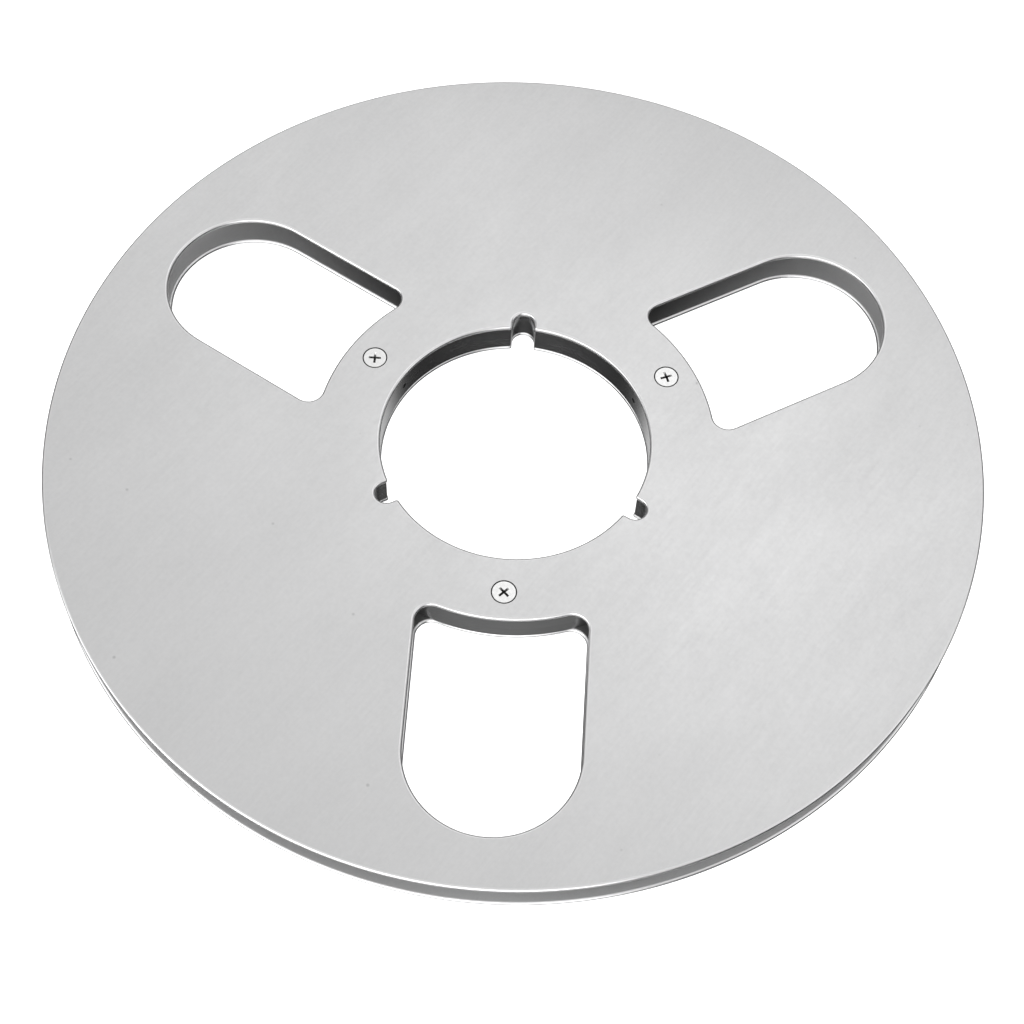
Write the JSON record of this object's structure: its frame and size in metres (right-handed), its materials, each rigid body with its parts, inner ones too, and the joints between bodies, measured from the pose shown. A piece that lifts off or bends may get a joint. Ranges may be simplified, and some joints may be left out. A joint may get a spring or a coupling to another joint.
{
  "type": "open-reel audio tape reel",
  "caption": "Empty large open-reel tape reel: two flat metal flanges with cut-out windows, screwed to a wide ring hub with drive notches.",
  "frame": {"origin": "on the reel's axis, in the plane of the lower flange's outer face", "axes": "+Z is the reel's axis, from the lower flange to the upper one; one window points along -Y and one drive notch along +Y"},
  "size_m": [0.2666, 0.2666, 0.0117],
  "materials": {
    "brushed_aluminium": "fine straight brushing, satin, clear anodised",
    "turned_aluminium": "fine turned, satin",
    "plated_steel": "bright nickel plated"
  },
  "bodies": {
    "root": {"upper_flange": "brushed_aluminium", "lower_flange": "brushed_aluminium", "hub": "turned_aluminium", "upper_screw_1": "plated_steel", "upper_screw_2": "plated_steel", "upper_screw_3": "plated_steel", "lower_screw_1": "plated_steel", "lower_screw_2": "plated_steel", "lower_screw_3": "plated_steel"}
  },
  "joints": []
}
